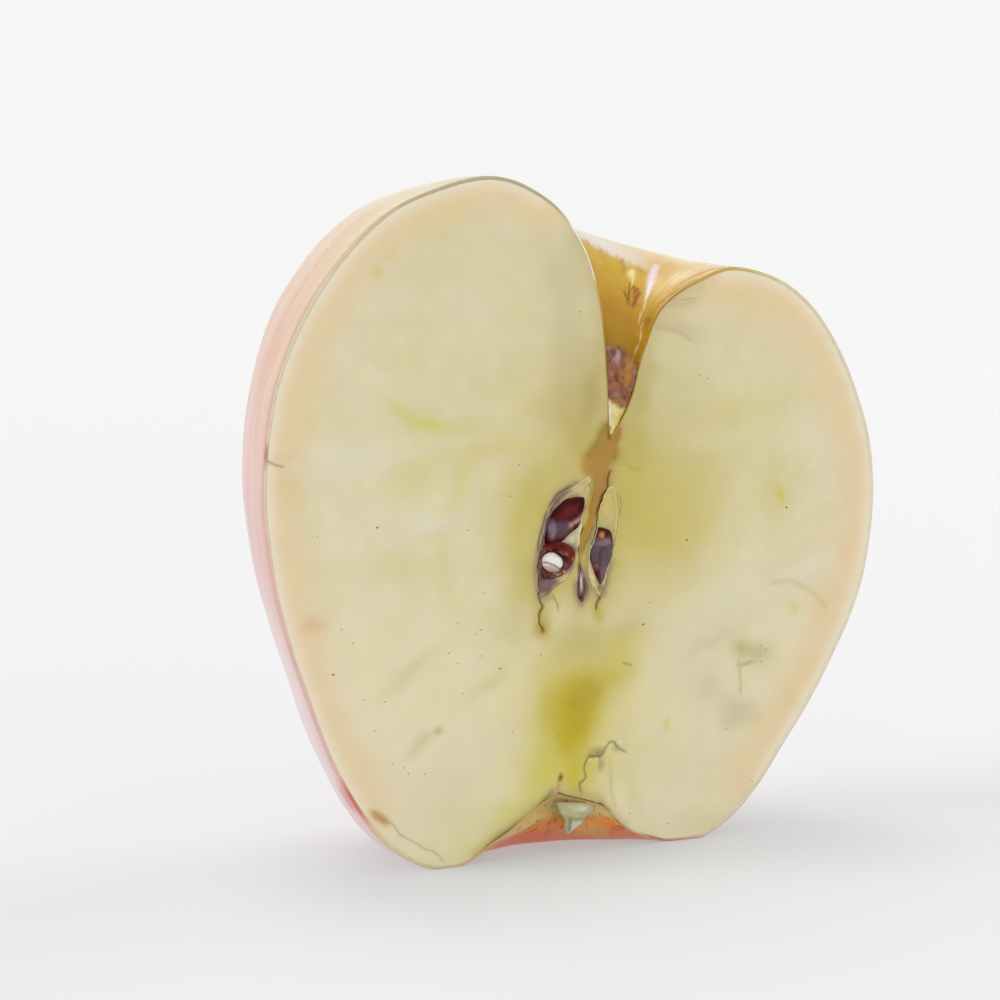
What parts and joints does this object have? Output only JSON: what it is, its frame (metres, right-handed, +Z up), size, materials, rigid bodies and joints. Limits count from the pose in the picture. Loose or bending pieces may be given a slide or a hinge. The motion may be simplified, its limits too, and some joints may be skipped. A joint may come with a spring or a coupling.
{
  "type": "apple half",
  "caption": "Half of a dessert apple cut from stem to calyx and standing on its base, with its open seed chambers, pips, stem stump and dried sepals.",
  "frame": {"origin": "on the surface that the half stands on, under the middle of its bounding box", "axes": "+Z up from calyx to stem, -Y out of the cut face, +X to the right along the cut face"},
  "size_m": [0.072, 0.0334, 0.068],
  "materials": {
    "flesh": "moist cut apple flesh, with thin waxy pink and cream skin behind it",
    "pip_coat": "smooth dark maroon seed coat, satin to glossy",
    "stem_wood": "dry fibrous brown stem wood",
    "dry_sepals": "dry papery grey-green"
  },
  "bodies": {
    "root": {"apple_half": "flesh", "pip_left_upper": "pip_coat", "pip_left_lower": "pip_coat", "pip_right": "pip_coat", "pip_middle": "pip_coat", "stem_stub": "stem_wood", "calyx_sepals": "dry_sepals"}
  },
  "joints": []
}
